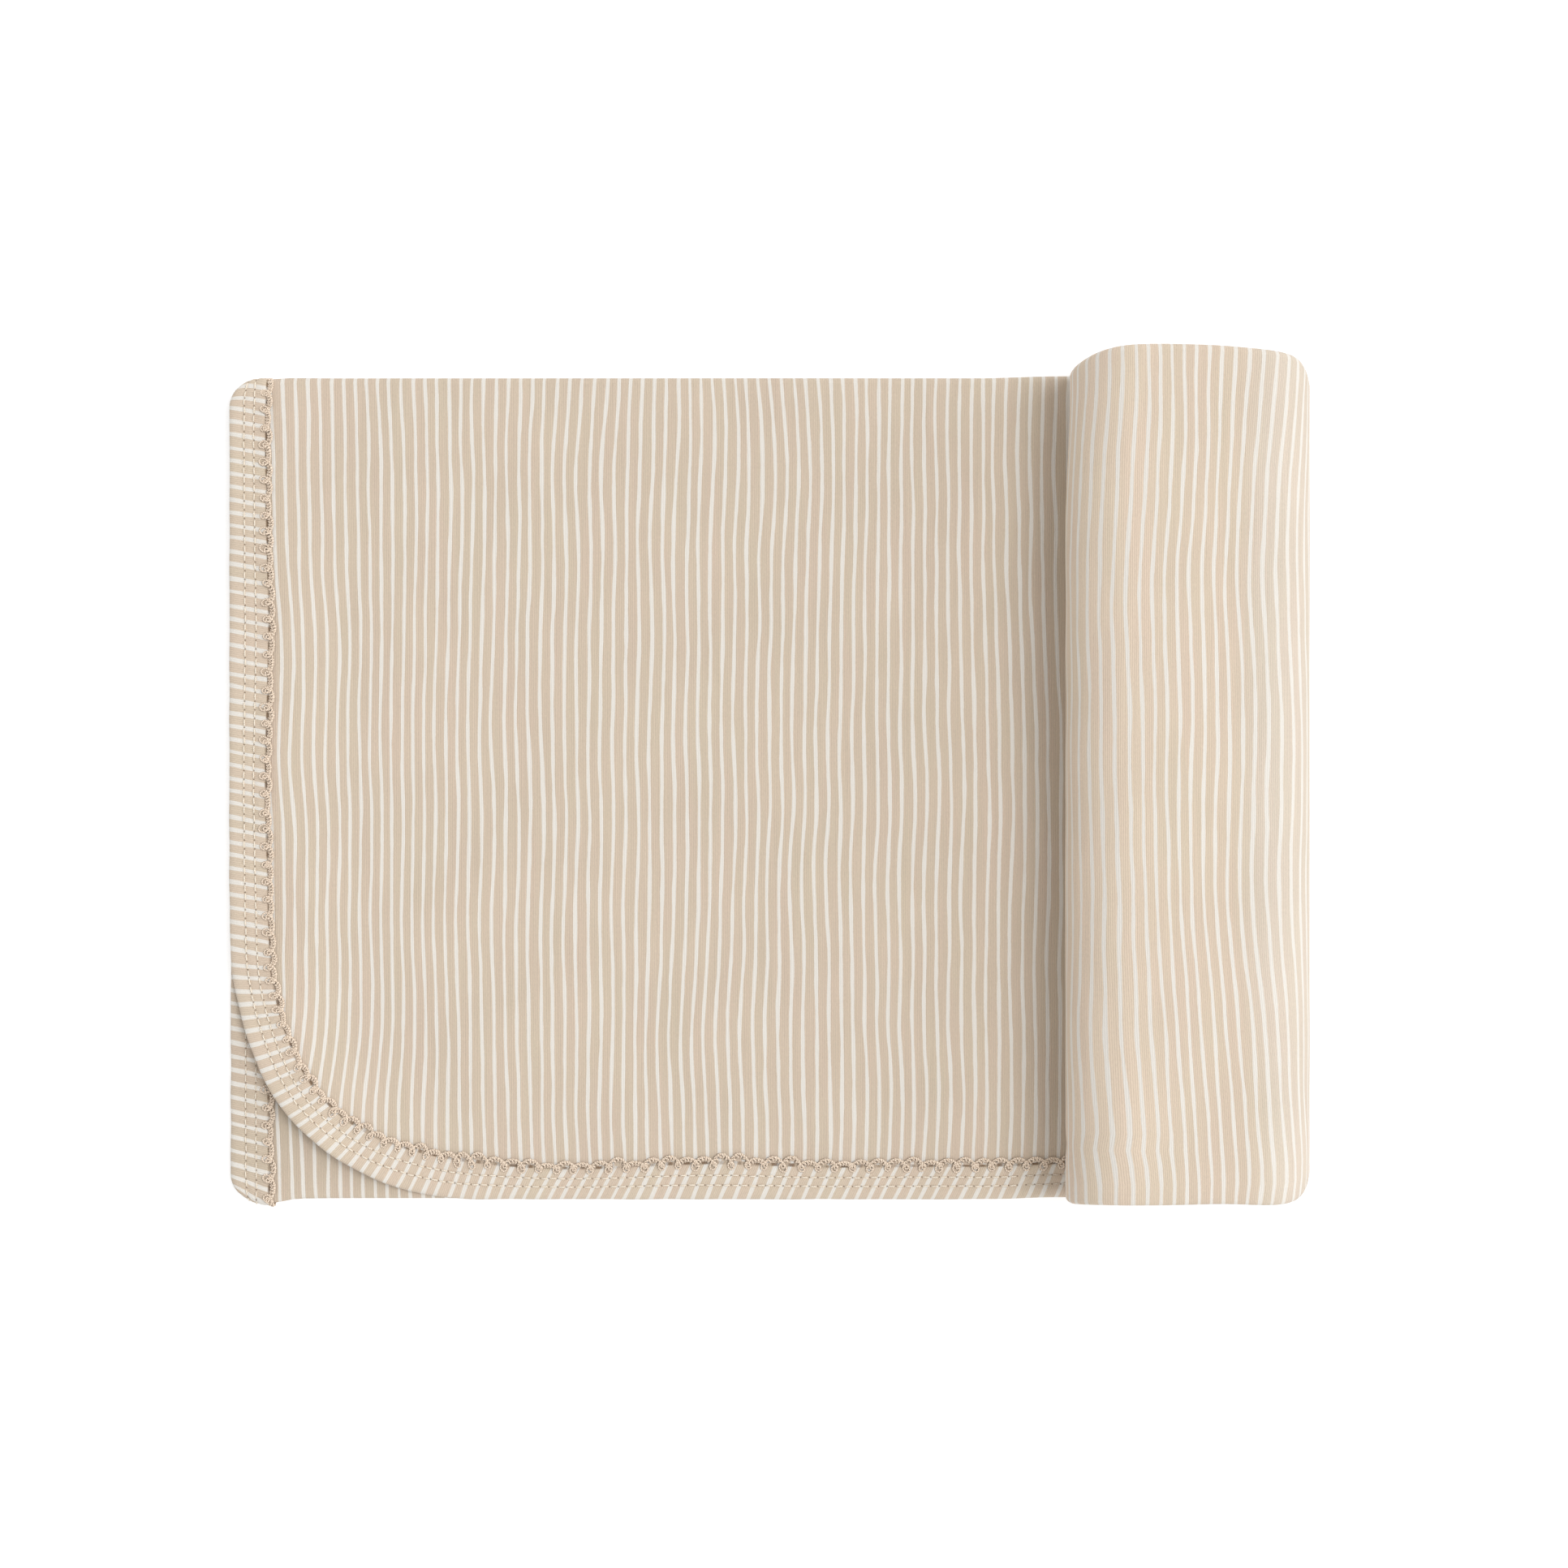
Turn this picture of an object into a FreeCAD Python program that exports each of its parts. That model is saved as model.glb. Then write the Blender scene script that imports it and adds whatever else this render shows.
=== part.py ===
"""Baby swaddle blanket, folded in three along its length and half rolled up.

The blanket is one square of knit with rounded corners.  A tape of the same
knit binds its edge, a picot trim runs along the tape's inner side, and two
rows of stitching hold them on.  X runs along the folded strip towards the
roll, Y along the roll and Z up.  Lengths are in millimetres.
"""

import FreeCAD
import Part
import math
import os

os.makedirs("parts", exist_ok=True)

# The blanket laid out flat
cloth_side = 864.0
corner_radius = 86.0
fabric = 1.0

# The binding tape, folded round the edge of the cloth
ply = 0.35
ease = 0.03
binding_width = 13.3
bound_edge = fabric + 2 * (ply + ease)

# The picot trim: a row of small arches on a narrow foot
scallop_pitch = 5.8
scallop_radius = 2.8
scallop_cord = 0.7
trim_foot = 1.0
trim_thickness = 0.35
trim_inset = binding_width + ease
trim_reach = trim_inset + trim_foot + scallop_radius

# The two rows of stitching, by their distance from the edge
stitch_rows = (5.4, 9.0)
stitch_pitch = 3.04
stitch_length = 2.2
stitch_width = 0.45
stitch_height = 0.2

# The folded strip and its roll
strip_width = cloth_side / 3
total_length = 375.2
roll_width = 83.0
roll_height = 46.0
roll_creep = 4.8
roll_pitch = 5.6

# Heights of the three bound layers where they lie flat; the outer one rests on the trim
snug_gap = 0.1
loose_gap = 0.5
back_level = 0.0
inner_level = back_level + bound_edge + snug_gap
outer_level = inner_level + bound_edge + loose_gap
cloth_lift = ply + ease
margin_end = trim_reach + 1.0

# Depths of the three layers below the roll's outer face
layer_step = 1.8
middle_depth = layer_step + fabric / 2

# The folds that bend: the turned corner and the crease beside the roll
corner_reach = 125.0
crease_offset = 1.0
half_gap = 0.15
zone_margin = 20.0

# Stretches of a wound line shorter than this share of a piece are left out
least_share = 1e-6

left = -total_length / 2
right = total_length / 2
crease = right - roll_width - crease_offset
stack_end = crease - half_gap
roll_start = crease + half_gap
flat_low = -roll_creep / 2 - strip_width / 2
flat_high = flat_low + strip_width
roll_low = flat_low + roll_creep
roll_high = flat_high + roll_creep

top_bend_y = flat_high - (outer_level + bound_edge) / 2
low_bend_y = flat_low + (inner_level + bound_edge) / 2
inner_edge_y = top_bend_y - loose_gap

# The roll's section winds round two centres, half a turn round each
outer_radius = roll_height / 2
right_centre_x = right - outer_radius
left_centre_x = right - roll_width + outer_radius - roll_pitch / 2
right_centre_z = outer_radius
left_centre_z = outer_radius + roll_pitch / 2
half_turns = 7
rolled_length = cloth_side - (roll_start - left)
binding_start = rolled_length - binding_width


def save(name, shape):
    """Write one sub-part to its own file."""
    if not shape.isValid() or not shape.Solids:
        raise ValueError(name + " is not a valid solid")
    shape.exportStep("parts/" + name + ".step")
    print(name, len(shape.Solids), round(shape.Volume, 1))


def point(x, y, z=0.0):
    return FreeCAD.Vector(x, y, z)


def block(x0, x1, y0, y1, z0, z1):
    """A box between two corners."""
    return Part.makeBox(x1 - x0, y1 - y0, z1 - z0, point(x0, y0, z0))


def bend(x0, x1, y, low, high, thickness, side):
    """Half a tube along X: cloth turning over from height low to height high."""
    radius = (high - low) / 2
    middle = (high + low) / 2
    start = point(x0, y, middle)
    along = point(1, 0, 0)
    tube = Part.makeCylinder(radius, x1 - x0, start, along)
    tube = tube.cut(Part.makeCylinder(radius - thickness, x1 - x0, start, along))
    if side > 0:
        half = block(x0, x1, y, y + radius, low, high)
    else:
        half = block(x0, x1, y - radius, y, low, high)
    return tube.common(half)


def flap(far_y, free_y, inset, z0, z1):
    """A flap from its fold at far_y to its free edge, with one rounded corner."""
    toward = math.copysign(1.0, far_y - free_y)
    radius = corner_radius - inset
    x = left + inset
    y = free_y + toward * inset
    bevel = radius * (1 - math.sqrt(0.5))
    fold_left = point(x, far_y, z0)
    arc_start = point(x, y + toward * radius, z0)
    arc_middle = point(x + bevel, y + toward * bevel, z0)
    arc_end = point(x + radius, y, z0)
    free_right = point(stack_end, y, z0)
    fold_right = point(stack_end, far_y, z0)
    edges = [
        Part.LineSegment(fold_left, arc_start).toShape(),
        Part.Arc(arc_start, arc_middle, arc_end).toShape(),
        Part.LineSegment(arc_end, free_right).toShape(),
        Part.LineSegment(free_right, fold_right).toShape(),
        Part.LineSegment(fold_right, fold_left).toShape(),
    ]
    return Part.Face(Part.Wire(edges)).extrude(point(0, 0, z1 - z0))


def flap_binding(far_y, free_y, level):
    """The tape round a flap's left and free edges, open towards the cloth."""
    whole = flap(far_y, free_y, 0.0, level, level + bound_edge)
    inside = flap(far_y, free_y, binding_width, level, level + bound_edge)
    slot = flap(far_y, free_y, ply, level + ply, level + bound_edge - ply)
    return whole.cut(inside).cut(slot)


def edge_length(far_y, free_y, inset):
    """Length of the line that follows a flap's edge at the given inset."""
    down = abs(far_y - free_y) - corner_radius
    turn = (corner_radius - inset) * math.pi / 2
    across = stack_end - left - corner_radius
    return down + turn + across


def edge_frame(far_y, free_y, inset, distance):
    """Place, heading and inward direction at a distance along a flap's edge."""
    toward = math.copysign(1.0, far_y - free_y)
    radius = corner_radius - inset
    down = abs(far_y - free_y) - corner_radius
    turn = radius * math.pi / 2
    if distance <= down:
        place = point(left + inset, far_y - toward * distance)
        return place, point(0, -toward), point(1, 0)
    angle = min((distance - down) / radius, math.pi / 2)
    inward = point(math.cos(angle), toward * math.sin(angle))
    heading = point(math.sin(angle), -toward * math.cos(angle))
    centre = point(left + corner_radius, free_y + toward * corner_radius)
    past = max(distance - down - turn, 0.0)
    return centre - inward * radius + heading * past, heading, inward


def arch(place, heading, inward, radius):
    """Three points of one arch of the trim, foot to foot."""
    return place - heading * radius, place + inward * radius, place + heading * radius


def arch_row(start, frames):
    """Outline, holes and far end of a row of arches set off from a starting point."""
    edges = []
    holes = []
    last = start
    for place, heading, inward in frames:
        near, top, far = arch(place, heading, inward, scallop_radius)
        edges.append(Part.LineSegment(last, near).toShape())
        edges.append(Part.Arc(near, top, far).toShape())
        near, top, end = arch(place, heading, inward, scallop_radius - scallop_cord)
        rim = Part.Arc(near, top, end).toShape()
        sill = Part.LineSegment(end, near).toShape()
        holes.append(Part.Wire([rim, sill]))
        last = far
    return edges, holes, last


def pierced_strip(edges, holes):
    """The trim's solid from its outline and its holes."""
    face = Part.makeFace([Part.Wire(edges)] + holes, "Part::FaceMakerBullseye")
    return face.extrude(point(0, 0, trim_thickness))


def flap_trim(far_y, free_y, z0):
    """The picot trim beside a flap's binding, as one pierced strip."""
    foot_line = trim_inset + trim_foot
    length = edge_length(far_y, free_y, foot_line)
    count = int(length / scallop_pitch)
    pitch = length / count
    lift = point(0, 0, z0)
    frames = []
    for number in range(count):
        place, heading, inward = edge_frame(far_y, free_y, foot_line, (number + 0.5) * pitch)
        frames.append((place + lift, heading, inward))
    first = edge_frame(far_y, free_y, foot_line, 0.0)[0] + lift
    edges, holes, last = arch_row(first, frames)
    stop = edge_frame(far_y, free_y, foot_line, length)[0] + lift
    down = abs(far_y - free_y) - corner_radius
    turn = (corner_radius - trim_inset) * math.pi / 2
    total = edge_length(far_y, free_y, trim_inset)
    outer_line = [total, down + turn, down + turn / 2, down, 0.0]
    outer = [edge_frame(far_y, free_y, trim_inset, d)[0] + lift for d in outer_line]
    edges.append(Part.LineSegment(last, stop).toShape())
    edges.append(Part.LineSegment(stop, outer[0]).toShape())
    edges.append(Part.LineSegment(outer[0], outer[1]).toShape())
    edges.append(Part.Arc(outer[1], outer[2], outer[3]).toShape())
    edges.append(Part.LineSegment(outer[3], outer[4]).toShape())
    edges.append(Part.LineSegment(outer[4], first).toShape())
    return pierced_strip(edges, holes)


def flap_stitches(far_y, free_y, z0):
    """Every stitch of the two rows, as (place, solid) pairs."""
    stitches = []
    for inset in stitch_rows:
        length = edge_length(far_y, free_y, inset)
        count = int(length / stitch_pitch)
        for number in range(count):
            place, heading, inward = edge_frame(far_y, free_y, inset, (number + 0.5) * length / count)
            corner = point(-stitch_length / 2, -stitch_width / 2, z0)
            stitch = Part.makeBox(stitch_length, stitch_width, stitch_height, corner)
            stitch.rotate(point(0, 0), point(0, 0, 1), math.degrees(math.atan2(heading.y, heading.x)))
            stitch.translate(place)
            stitches.append((place, stitch))
    return stitches


def corner_zone(shift):
    """The ground beyond the diagonal fold line, moved out by shift."""
    reach = corner_reach + shift * math.sqrt(2)
    corners = [
        point(left - zone_margin, flat_low - zone_margin),
        point(left + reach + zone_margin, flat_low - zone_margin),
        point(left - zone_margin, flat_low + reach + zone_margin),
        point(left - zone_margin, flat_low - zone_margin),
    ]
    return Part.Face(Part.makePolygon(corners)).extrude(point(0, 0, roll_height))


def past_fold(place):
    """How far a place lies beyond the diagonal fold line, towards the corner."""
    return (corner_reach - (place.x - left) - (place.y - flat_low)) / math.sqrt(2)


def strip_trim(y0, y1, x, z0):
    """A straight run of the picot trim along Y, arches towards +X."""
    count = int((y1 - y0) / scallop_pitch)
    pitch = (y1 - y0) / count
    foot = x + trim_foot
    frames = []
    for number in range(count):
        place = point(foot, y0 + (number + 0.5) * pitch, z0)
        frames.append((place, point(0, 1), point(1, 0)))
    edges, holes, last = arch_row(point(foot, y0, z0), frames)
    path = [last, point(foot, y1, z0), point(x, y1, z0), point(x, y0, z0), point(foot, y0, z0)]
    for number in range(len(path) - 1):
        edges.append(Part.LineSegment(path[number], path[number + 1]).toShape())
    return pierced_strip(edges, holes)


def winding(depth):
    """The roll's section at a depth below its face, as runs and half circles.

    Each piece gives its kind, its middle-layer length and its shape.
    """
    run = right_centre_x - left_centre_x
    pieces = [("run", right_centre_x - roll_start, (roll_start, depth, right_centre_x))]
    for number in range(half_turns):
        radius = outer_radius - number * roll_pitch / 2
        length = math.pi * (radius - middle_depth)
        if number % 2 == 0:
            top = right_centre_z + radius - depth
            arc = (right_centre_x, right_centre_z, radius - depth, -math.pi / 2)
            straight = (right_centre_x, top, left_centre_x)
        else:
            bottom = left_centre_z - radius + depth
            arc = (left_centre_x, left_centre_z, radius - depth, math.pi / 2)
            straight = (left_centre_x, bottom, right_centre_x)
        pieces.append(("arc", length, arc))
        pieces.append(("run", run, straight))
    return pieces


def on_arc(arc, share):
    """A point part of the way round a half circle."""
    x, z, radius, start = arc
    angle = start + math.pi * share
    return point(x + radius * math.cos(angle), 0, z + radius * math.sin(angle))


def roll_line(depth, start, end):
    """Edges along the roll between two wound lengths, at a depth below its face."""
    edges = []
    wound = 0.0
    for kind, length, shape in winding(depth):
        first = max(0.0, (start - wound) / length)
        last = min(1.0, (end - wound) / length)
        wound += length
        if last - first < least_share:
            continue
        if kind == "run":
            x0, z, x1 = shape
            begin = point(x0 + (x1 - x0) * first, 0, z)
            finish = point(x0 + (x1 - x0) * last, 0, z)
            edges.append(Part.LineSegment(begin, finish).toShape())
        else:
            begin = on_arc(shape, first)
            middle = on_arc(shape, (first + last) / 2)
            finish = on_arc(shape, last)
            edges.append(Part.Arc(begin, middle, finish).toShape())
    return edges


def ends(edges):
    """First and last points of a chain of edges."""
    first = edges[0].valueAt(edges[0].FirstParameter)
    last = edges[-1].valueAt(edges[-1].LastParameter)
    return first, last


def roll_band(low, high, y0, y1, start=0.0, end=rolled_length):
    """A band wound between two depths and two places along Y."""
    under = roll_line(low, start, end)
    over = roll_line(high, start, end)
    under_first, under_last = ends(under)
    over_first, over_last = ends(over)
    stop = Part.LineSegment(under_last, over_last).toShape()
    close = Part.LineSegment(over_first, under_first).toShape()
    wire = Part.Wire(Part.__sortEdges__(under + [stop] + over + [close]))
    wire.translate(point(0, y0, 0))
    return Part.Face(wire).extrude(point(0, y1 - y0, 0))


def roll_binding(depth, y0, y1, edge_y):
    """The tape along the roll round a cloth edge at edge_y, at the cloth's depth."""
    whole = roll_band(depth - cloth_lift, depth + fabric + cloth_lift, y0, y1, 0.0, binding_start - ease)
    slot_y0 = y0 + ply if edge_y == y0 else y0
    slot_y1 = y1 - ply if edge_y == y1 else y1
    slot = roll_band(depth - ease, depth + fabric + ease, slot_y0, slot_y1, 0.0, binding_start - ease)
    return whole.cut(slot)


def end_binding(depth, y0, y1):
    """The tape round the blanket's far edge, at the core of the roll."""
    whole = roll_band(depth - cloth_lift, depth + fabric + cloth_lift, y0, y1, binding_start)
    slot = roll_band(depth - ease, depth + fabric + ease, y0, y1, binding_start, rolled_length - ply)
    return whole.cut(slot)


# The back panel lies face down under everything
field_start = left + margin_end
cloth_left = left + cloth_lift
margin_low = back_level + cloth_lift
margin = block(cloth_left, field_start, low_bend_y, top_bend_y, margin_low, margin_low + fabric)
field = block(field_start - fabric, stack_end, low_bend_y, top_bend_y, 0.0, fabric)
riser = block(field_start - fabric, field_start, low_bend_y, top_bend_y, 0.0, margin_low + fabric)
save("back_panel", margin.fuse([field, riser]).removeSplitter())

# The cloth turns over along the two long folds
inner_cloth = inner_level + cloth_lift
outer_cloth = outer_level + cloth_lift
low_margin = bend(cloth_left, field_start, low_bend_y, margin_low, inner_cloth + fabric, fabric, -1)
low_field = bend(field_start, stack_end, low_bend_y, 0.0, inner_cloth + fabric, fabric, -1)
save("bottom_fold", Part.makeCompound([low_margin, low_field]))
top_margin = bend(cloth_left, field_start, top_bend_y, margin_low, outer_cloth + fabric, fabric, 1)
top_field = bend(field_start, stack_end, top_bend_y, 0.0, outer_cloth + fabric, fabric, 1)
save("top_fold", Part.makeCompound([top_margin, top_field]))

# The inner flap comes up from the low fold and lies face up
save("inner_flap", flap(low_bend_y, inner_edge_y, cloth_lift, inner_cloth, inner_cloth + fabric))
save("inner_binding", flap_binding(low_bend_y, inner_edge_y, inner_level))
inner_trim_level = inner_cloth + fabric + ease
save("inner_trim", flap_trim(low_bend_y, inner_edge_y, inner_trim_level))
inner_stitches = flap_stitches(low_bend_y, inner_edge_y, inner_level + bound_edge)
save("inner_stitching", Part.makeCompound([solid for place, solid in inner_stitches]))

# The outer flap comes down from the top fold; its corner turns up
keep_out = corner_zone(half_gap)
corner_side = corner_zone(-half_gap)
outer_top = outer_level + bound_edge
outer_flap = flap(top_bend_y, flat_low, cloth_lift, outer_cloth, outer_cloth + fabric)
save("outer_flap", outer_flap.cut(keep_out))
save("corner_flap", outer_flap.common(corner_side))

outer_binding = flap_binding(top_bend_y, flat_low, outer_level)
save("corner_binding", outer_binding.common(corner_side))
split_x = left + corner_radius / 2
left_part = block(left - fabric, split_x, flat_low, flat_high, 0.0, outer_top)
straight_binding = outer_binding.cut(keep_out)
save("outer_left_binding", straight_binding.common(left_part))
save("outer_bottom_binding", straight_binding.cut(left_part))

outer_trim = flap_trim(top_bend_y, flat_low, outer_cloth + fabric + ease)
save("corner_trim", outer_trim.common(corner_side))
straight_trim = outer_trim.cut(keep_out)
save("outer_left_trim", straight_trim.common(left_part))
save("outer_bottom_trim", straight_trim.cut(left_part))

outer_stitches = flap_stitches(top_bend_y, flat_low, outer_top)
clear = half_gap + stitch_length / 2
corner_stitches = [solid for place, solid in outer_stitches if past_fold(place) > clear]
left_stitches = [solid for place, solid in outer_stitches
                 if past_fold(place) < -clear and place.x < split_x]
bottom_stitches = [solid for place, solid in outer_stitches
                   if past_fold(place) < -clear and place.x > split_x]
save("corner_stitching", Part.makeCompound(corner_stitches))
save("outer_left_stitching", Part.makeCompound(left_stitches))
save("outer_bottom_stitching", Part.makeCompound(bottom_stitches))

# The binding and trim of the left edge, on the back panel and over its folds
tape = block(left, left + binding_width, low_bend_y, top_bend_y, 0.0, bound_edge)
slot_low = back_level + ply
slot_high = back_level + bound_edge - ply
slot = block(left + ply, left + binding_width, low_bend_y, top_bend_y, slot_low, slot_high)
save("back_left_binding", tape.cut(slot))
save("back_left_trim", strip_trim(low_bend_y, top_bend_y, left + trim_inset, 0.0))

tape_end = left + binding_width
for name, y, level, side in (("bottom_fold_binding", low_bend_y, inner_level, -1),
                             ("top_fold_binding", top_bend_y, outer_level, 1)):
    tape = bend(left, tape_end, y, 0.0, level + bound_edge, bound_edge, side)
    slot = bend(left + ply, tape_end, y, ply, level + bound_edge - ply, fabric + 2 * ease, side)
    save(name, tape.cut(slot))

# The rolled half: the same three layers wound round the core
cloth_end = rolled_length - cloth_lift
inner_depth = layer_step
outer_depth = 2 * layer_step
roll_inner_edge = roll_high - (flat_high - inner_edge_y)
save("roll_back_layer", roll_band(0.0, fabric, roll_low, roll_high, 0.0, cloth_end))
save("roll_inner_layer", roll_band(inner_depth, inner_depth + fabric, roll_low,
                                   roll_inner_edge - cloth_lift, 0.0, cloth_end))
save("roll_outer_layer", roll_band(outer_depth, outer_depth + fabric, roll_low + cloth_lift,
                                   roll_high, 0.0, cloth_end))

# Its two long folds join the layers at the ends of the roll
fold_end = binding_start - ease
save("roll_bottom_fold", roll_band(fabric, inner_depth, roll_low, roll_low + fabric, 0.0, fold_end))
save("roll_top_fold", roll_band(fabric, outer_depth, roll_high - fabric, roll_high, 0.0, fold_end))

# The bound edges that are rolled in, with their trim and stitching
inner_tape_y = roll_inner_edge - binding_width
save("roll_inner_binding", roll_binding(inner_depth, inner_tape_y, roll_inner_edge, roll_inner_edge))
bottom_tape_y = roll_low + binding_width
save("roll_bottom_binding", roll_binding(outer_depth, roll_low, bottom_tape_y, roll_low))

trim_width = trim_reach - trim_inset
trim_depth = outer_depth + fabric + ease
save("roll_bottom_trim", roll_band(trim_depth, trim_depth + trim_thickness, roll_low + trim_inset,
                                   roll_low + trim_reach, 0.0, fold_end))
trim_depth = inner_depth + fabric + ease
save("roll_inner_trim", roll_band(trim_depth, trim_depth + trim_thickness, roll_inner_edge - trim_reach,
                                  roll_inner_edge - trim_inset, 0.0, fold_end))
thread_depth = outer_depth + fabric + cloth_lift
threads = []
for inset in stitch_rows:
    thread_y = roll_low + inset - stitch_width / 2
    threads.append(roll_band(thread_depth, thread_depth + stitch_height, thread_y,
                             thread_y + stitch_width, 0.0, fold_end))
save("roll_bottom_stitching", Part.makeCompound(threads))

# The far edge of the blanket ends at the core
save("end_back_binding", end_binding(0.0, roll_low, roll_high))
save("end_inner_binding", end_binding(inner_depth, roll_low, roll_inner_edge))
save("end_outer_binding", end_binding(outer_depth, roll_low, roll_high))
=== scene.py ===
"""Looks of the folded, half-rolled baby swaddle blanket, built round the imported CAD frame.

The blanket is drawn once, in flat cloth millimetres: u runs along the strip from its bound left
edge, v across all three layers from the inner flap's free edge to the outer flap's.  place()
folds and rolls a cloth point, with its height off the cloth's middle, into the frame.  The cloth,
the binding, the trim and the stitches are all made in cloth millimetres and placed that way.
"""

import math
import random

import bpy
import numpy as np
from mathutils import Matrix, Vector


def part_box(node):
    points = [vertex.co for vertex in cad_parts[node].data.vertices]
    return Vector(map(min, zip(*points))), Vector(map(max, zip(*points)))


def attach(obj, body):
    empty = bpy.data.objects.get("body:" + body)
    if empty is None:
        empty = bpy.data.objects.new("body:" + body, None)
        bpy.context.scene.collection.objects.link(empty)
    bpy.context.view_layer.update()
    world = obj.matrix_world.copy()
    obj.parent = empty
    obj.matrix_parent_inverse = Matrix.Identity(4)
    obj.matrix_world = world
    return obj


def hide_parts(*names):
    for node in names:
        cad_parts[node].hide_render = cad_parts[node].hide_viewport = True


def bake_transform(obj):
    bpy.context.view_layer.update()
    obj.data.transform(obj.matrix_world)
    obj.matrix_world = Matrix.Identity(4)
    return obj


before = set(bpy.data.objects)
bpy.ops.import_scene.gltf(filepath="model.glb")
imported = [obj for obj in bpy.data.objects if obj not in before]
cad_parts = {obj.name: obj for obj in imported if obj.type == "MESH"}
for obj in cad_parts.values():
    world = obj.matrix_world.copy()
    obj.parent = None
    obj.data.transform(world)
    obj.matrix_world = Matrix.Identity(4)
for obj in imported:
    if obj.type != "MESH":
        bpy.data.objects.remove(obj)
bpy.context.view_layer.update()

MM = 0.001

# ---------------------------------------------------------------- sizes, millimetres


def node_box(name):
    """Lowest and highest corners of a CAD node, in millimetres."""
    low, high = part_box(name)
    return np.array(low) / MM, np.array(high) / MM


LEFT = node_box("outer_left_binding")[0][0]
LOW = node_box("outer_bottom_binding")[0][1]
STRIP = 288.0
HIGH = LOW + STRIP
INNER_EDGE = node_box("inner_binding")[1][1]
ROLL_BOX = node_box("roll_back_layer")
CREASE_GAP = 0.15
CREASE = ROLL_BOX[0][0] - CREASE_GAP
ROLL_RIGHT = ROLL_BOX[1][0]
ROLL_TOP = ROLL_BOX[1][2]
# How far the roll has crept along y, beside the strip
CREEP = ROLL_BOX[0][1] - LOW

LENGTH = 864.0
CORNER = 86.0
CLOTH_HALF = 0.45
BINDING = 13.3
# The cloth's cut edge stops this far inside the binding's fold
EDGE_GAP = 0.6

# The roll winds round two centres, half a turn round each
ROLL_WIDTH = 83.0
ROLL_PITCH = 5.6
ROLL_R = ROLL_TOP / 2
ROLL_MIDDLE = ROLL_RIGHT - ROLL_WIDTH / 2
RIGHT_X = ROLL_RIGHT - ROLL_R
LEFT_X = ROLL_RIGHT - ROLL_WIDTH + ROLL_R - ROLL_PITCH / 2
RIGHT_Z = ROLL_R
LEFT_Z = ROLL_R + ROLL_PITCH / 2
RUN = RIGHT_X - LEFT_X
# Depth in the three layers at which the wound cloth keeps its length
TRUE_DEPTH = 2.3
HALF_TURNS = 8

# Where each stretch of the section across the strip starts, in v; the folds are half circles
LOW_LOOP = 1.1
TOP_LOOP = 1.7
LOW_BEND = LOW + LOW_LOOP + CLOTH_HALF
TOP_BEND = HIGH - TOP_LOOP - CLOTH_HALF
V_LOW = INNER_EDGE - LOW_BEND
V_BACK = V_LOW + math.pi * LOW_LOOP
V_TOP = V_BACK + TOP_BEND - LOW_BEND
V_OUTER = V_TOP + math.pi * TOP_LOOP
V_END = V_OUTER + TOP_BEND - LOW

# Places along the strip, in u: where the winding starts, the roll's crest, the crease beside
# the roll, and the line where the flap's cloth is divided in two pieces
WIND_START = RIGHT_X - LEFT
ROLL_CREST = WIND_START + math.pi * (ROLL_R - TRUE_DEPTH) + RUN / 2
CREASE_U = CREASE - LEFT
SEAM_U = CREASE - 14.0 - LEFT

# How the soft cloth differs from plain folded and rolled sheets
ROLLED_LAYER = 1.8
LOOSE_CORNER_LIFT = 4.6
FLAP_DRAWN_IN = 1.9
FOLD_SAG = 1.8
FOLD_TUCK = 0.6
ROLL_CROWN = 1.0
ROLL_BULGE = 1.5
ROLL_LEAN = 5.6
KINK_Y = LOW + 17


def smooth(x, a, b):
    """0 below a, 1 above b, easing between them."""
    t = np.clip((x - a) / (b - a), 0.0, 1.0)
    return t * t * (3 - 2 * t)


def mound(x, centre, width):
    """1 at the centre, falling away smoothly on both sides."""
    return np.exp(-((x - centre) / width) ** 2)


def ripple(x, y, seed, size):
    """Smooth noise from about -1 to 1, with features about size across."""
    rng = random.Random(seed)
    total = np.zeros(np.broadcast(x, y).shape)
    for _ in range(7):
        angle = rng.uniform(0, 2 * math.pi)
        wave = 2 * math.pi / (size * rng.uniform(1.0, 2.4))
        phase = rng.uniform(0, 2 * math.pi)
        total = total + np.sin(wave * (x * math.cos(angle) + y * math.sin(angle)) + phase)
    return total / 3.2


# ---------------------------------------------------------------- folding and rolling


def wind(s, depth):
    """x, z at a length s along the strip and a depth above its underside."""
    x = LEFT + s
    z = depth.copy()
    begin = WIND_START
    for number in range(HALF_TURNS):
        radius = ROLL_R - number * ROLL_PITCH / 2
        arc = math.pi * (radius - TRUE_DEPTH)
        on_right = number % 2 == 0
        centre_x = RIGHT_X if on_right else LEFT_X
        centre_z = RIGHT_Z if on_right else LEFT_Z
        first = -math.pi / 2 if on_right else math.pi / 2
        # Half a turn round this centre
        here = s > begin
        angle = first + (s - begin) / arc * math.pi
        x = np.where(here, centre_x + (radius - depth) * np.cos(angle), x)
        z = np.where(here, centre_z + (radius - depth) * np.sin(angle), z)
        begin += arc
        # A straight run to the other centre
        here = s > begin
        way = -1.0 if on_right else 1.0
        level = centre_z + radius - depth if on_right else centre_z - radius + depth
        x = np.where(here, centre_x + way * (s - begin), x)
        z = np.where(here, level, z)
        begin += RUN
    return x, z


def flap_inset(u, from_edge):
    """Distance inside a flap's outline, which has one rounded corner at the left."""
    du = CORNER - u
    dy = CORNER - from_edge
    round_part = CORNER - np.hypot(np.maximum(du, 0), np.maximum(dy, 0))
    return np.where((du > 0) & (dy > 0), round_part, np.minimum(u, from_edge))


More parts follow.
